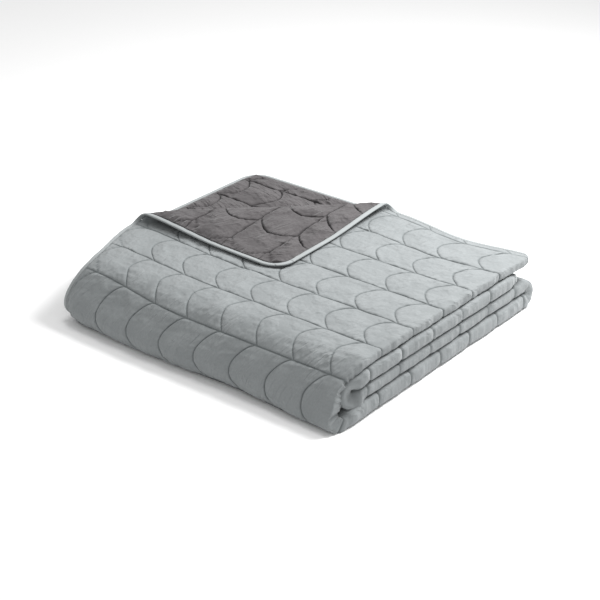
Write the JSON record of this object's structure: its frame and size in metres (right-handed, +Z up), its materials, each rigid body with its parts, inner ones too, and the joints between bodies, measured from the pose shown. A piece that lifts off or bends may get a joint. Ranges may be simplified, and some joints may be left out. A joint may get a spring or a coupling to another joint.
{
  "type": "folded quilted bedspread",
  "caption": "Soft quilted bedspread with a bound edge, folded into a low rectangular stack with one corner of its top layer turned back.",
  "frame": {"origin": "middle of the stack's footprint, on the surface it lies on", "axes": "+Z up through the layers; +X towards the long fold, across the folded width; +Y towards the free ends"},
  "size_m": [0.7496, 0.6686, 0.1343],
  "materials": {
    "light_face": "matt brushed microfibre, pale cool grey",
    "dark_reverse": "matt brushed microfibre, dark warm grey",
    "light_binding": "matt woven bias strip, pale cool grey"
  },
  "bodies": {
    "root": {"face_panel": "light_face", "reverse_panel": "dark_reverse", "binding": "light_binding"}
  },
  "joints": []
}
